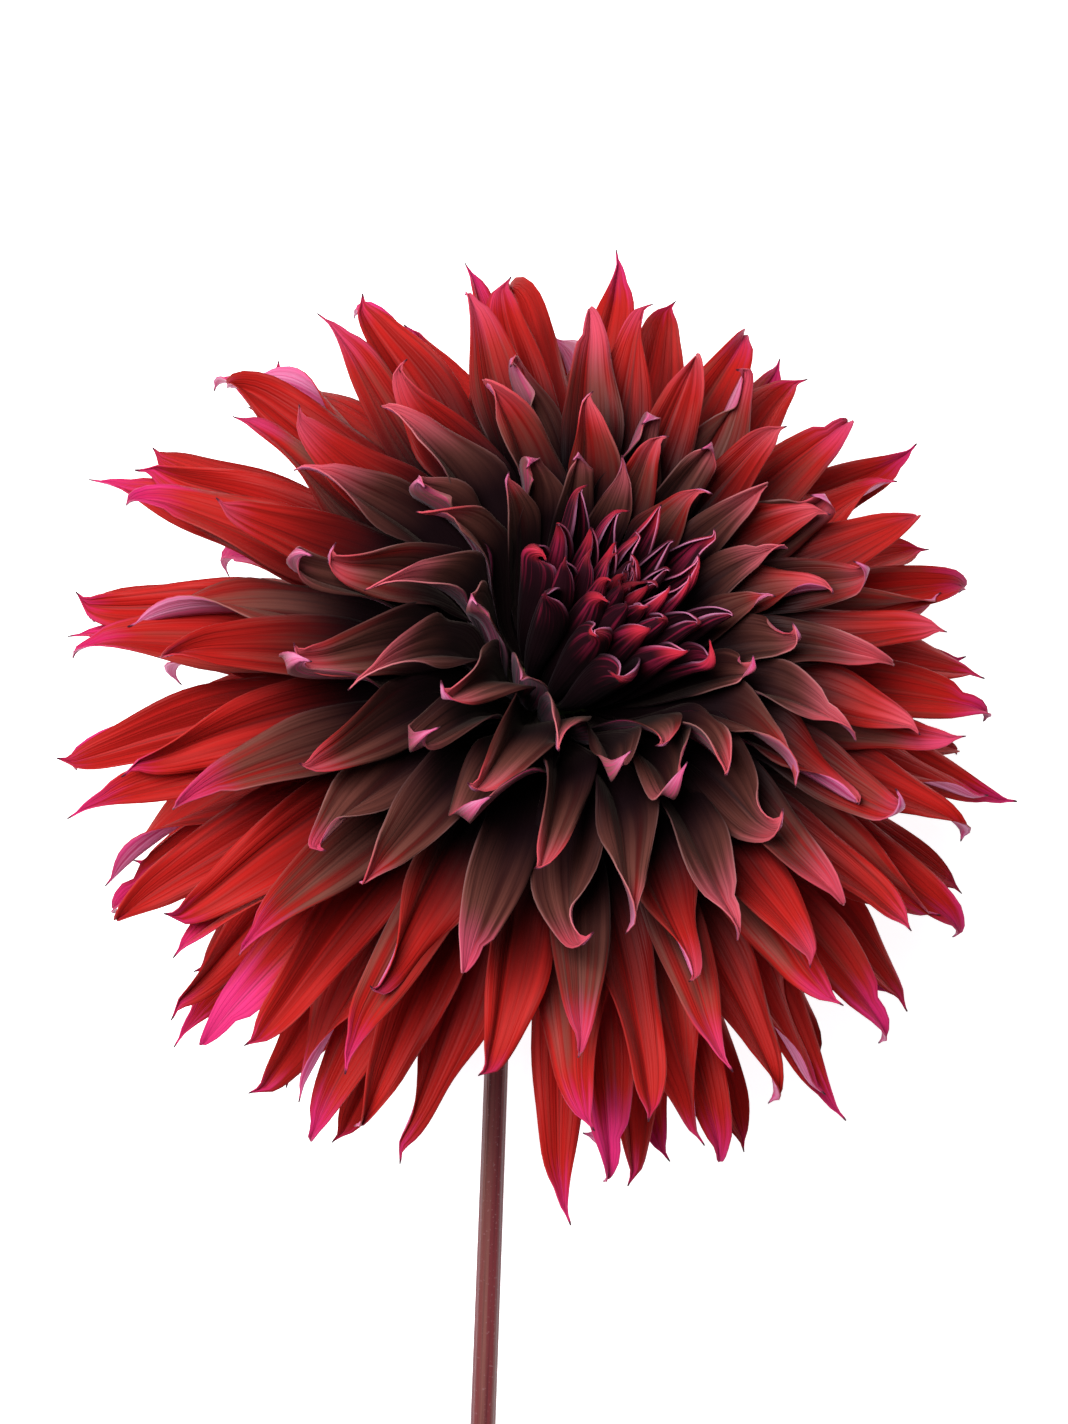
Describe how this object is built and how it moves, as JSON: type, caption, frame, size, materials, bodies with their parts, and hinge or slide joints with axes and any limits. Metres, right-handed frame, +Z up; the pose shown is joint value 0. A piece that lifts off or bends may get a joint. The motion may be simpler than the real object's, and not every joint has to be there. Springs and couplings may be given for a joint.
{
  "type": "cut dahlia flower",
  "caption": "Single cut decorative dahlia with one large dark red double bloom and a bare stem, lying on its side as table or shelf decoration.",
  "frame": {"origin": "the middle of the flower's box, on the table that it lies on", "axes": "+Z up from the table, the stem runs along -Y from the bloom, +X to the right when seen from above with the bloom at the top"},
  "size_m": [0.2072, 0.3946, 0.1499],
  "materials": {
    "heart_buds": "velvety",
    "inner_petals": "velvety",
    "outer_petals": "velvety",
    "back_petals": "velvety",
    "receptacle": "matte",
    "calyx": "satin",
    "stem": "satin"
  },
  "bodies": {
    "root": {"heart_buds": "heart_buds", "inner_petals": "inner_petals", "outer_petals": "outer_petals", "back_petals": "back_petals", "receptacle": "receptacle", "calyx": "calyx", "stem": "stem"}
  },
  "joints": []
}
